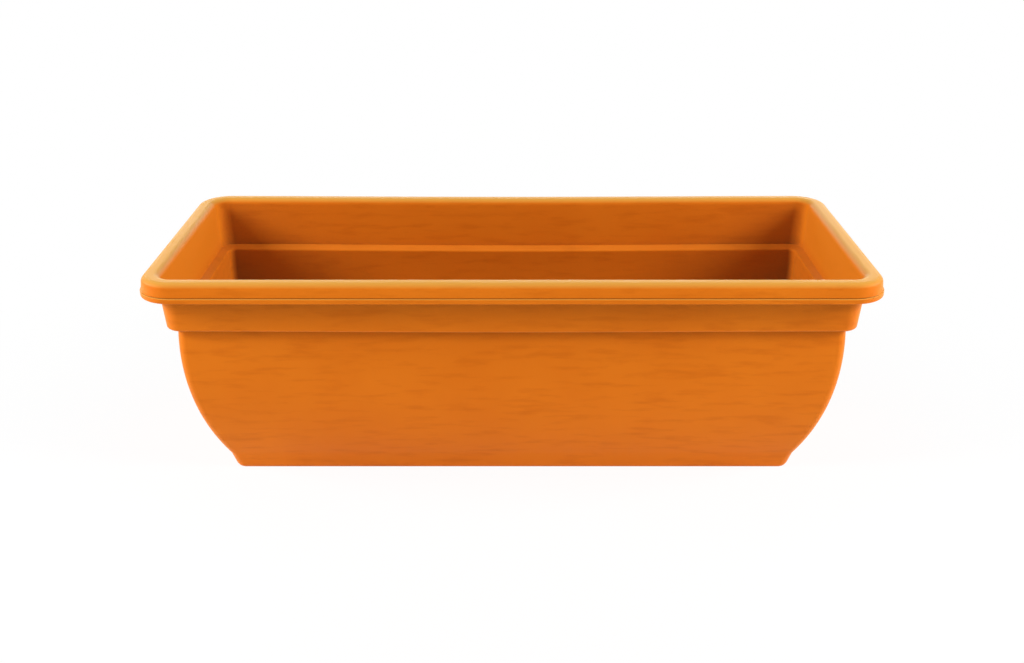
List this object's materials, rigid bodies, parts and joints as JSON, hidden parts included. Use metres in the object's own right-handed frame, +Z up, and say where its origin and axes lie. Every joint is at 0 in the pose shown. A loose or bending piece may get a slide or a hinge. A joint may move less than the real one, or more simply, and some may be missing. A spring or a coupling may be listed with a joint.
{
  "type": "window box planter",
  "caption": "Long window box planter with a hollow rolled rim, a neck band, a bell-shaped body on a low foot, and push-fit drain plugs in its floor.",
  "frame": {"origin": "centre of the planter's footprint, on the surface that its foot rests on", "axes": "+X along the length to the right, +Y from the front to the back, +Z up out of the opening"},
  "size_m": [0.6, 0.24, 0.196],
  "materials": {
    "trough_plastic": "warm orange moulded plastic with a soft satin face",
    "plug_plastic": "darker orange soft moulded plastic"
  },
  "bodies": {
    "trough": {"trough_shell": "trough_plastic"},
    "plug_front_left": {"drain_plug_front_left": "plug_plastic"},
    "plug_front_centre": {"drain_plug_front_centre": "plug_plastic"},
    "plug_front_right": {"drain_plug_front_right": "plug_plastic"},
    "plug_back_left": {"drain_plug_back_left": "plug_plastic"},
    "plug_back_centre": {"drain_plug_back_centre": "plug_plastic"},
    "plug_back_right": {"drain_plug_back_right": "plug_plastic"}
  },
  "joints": [
    {"name": "lift_front_left", "type": "slide", "parent": "trough", "child": "plug_front_left", "axis": [0, 0, 1], "range_m": [0, 0.2]},
    {"name": "lift_front_centre", "type": "slide", "parent": "trough", "child": "plug_front_centre", "axis": [0, 0, 1], "range_m": [0, 0.2]},
    {"name": "lift_front_right", "type": "slide", "parent": "trough", "child": "plug_front_right", "axis": [0, 0, 1], "range_m": [0, 0.2]},
    {"name": "lift_back_left", "type": "slide", "parent": "trough", "child": "plug_back_left", "axis": [0, 0, 1], "range_m": [0, 0.2]},
    {"name": "lift_back_centre", "type": "slide", "parent": "trough", "child": "plug_back_centre", "axis": [0, 0, 1], "range_m": [0, 0.2]},
    {"name": "lift_back_right", "type": "slide", "parent": "trough", "child": "plug_back_right", "axis": [0, 0, 1], "range_m": [0, 0.2]}
  ]
}
